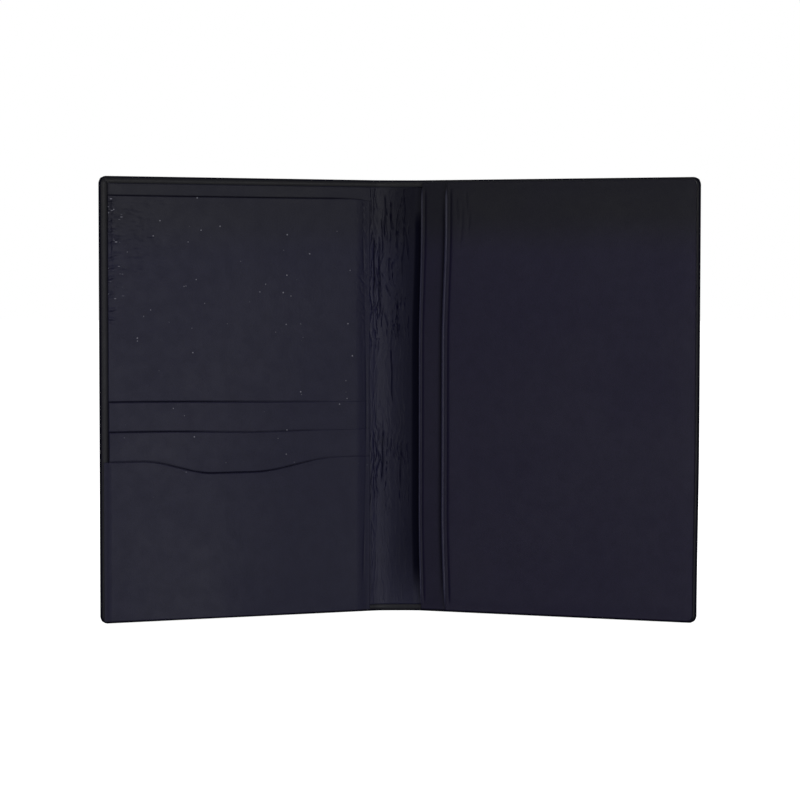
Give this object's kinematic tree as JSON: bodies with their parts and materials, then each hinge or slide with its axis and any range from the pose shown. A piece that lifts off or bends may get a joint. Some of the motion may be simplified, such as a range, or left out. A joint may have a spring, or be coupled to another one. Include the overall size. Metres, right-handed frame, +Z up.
{
  "type": "passport holder",
  "caption": "Bifold leather passport holder, half open: slip pocket and stepped card slots on one cover, full-height sleeves on the other, folding spine.",
  "frame": {"origin": "middle of the bounding box, at the bottom edges that the holder stands on", "axes": "+Z up along the spine, +X towards the right cover, -Y the way the opening faces"},
  "size_m": [0.191, 0.0368, 0.142],
  "materials": {
    "outer_leather": "smooth navy leather, soft sheen",
    "pocket_leather": "smooth navy leather, soft sheen",
    "lining": "thin navy lining leather, creased at the folds",
    "board": "grey board",
    "pouch_cloth": "thin black lining cloth"
  },
  "bodies": {
    "spine": {"spine_leather": "outer_leather", "spine_lining": "lining"},
    "left_cover": {"left_cover_leather": "outer_leather", "left_cover_board": "board", "left_lining": "lining", "slip_pocket_panel": "pocket_leather", "back_card_facing": "pocket_leather", "back_card_pouch": "pouch_cloth", "middle_card_facing": "pocket_leather", "middle_card_pouch": "pouch_cloth", "front_card_pocket": "pocket_leather"},
    "right_cover": {"right_cover_leather": "outer_leather", "right_cover_board": "board", "right_lining": "lining", "document_sleeve": "pocket_leather", "passport_sleeve": "pocket_leather"}
  },
  "joints": [
    {"name": "left_cover_fold", "type": "hinge", "parent": "spine", "child": "left_cover", "pos_m": [-0.0075, 0.01797, 0.071], "axis": [0, 0, 1], "range_deg": [-20, 70]},
    {"name": "right_cover_fold", "type": "hinge", "parent": "spine", "child": "right_cover", "pos_m": [0.0075, 0.01797, 0.071], "axis": [0, 0, -1], "range_deg": [-20, 70]}
  ]
}
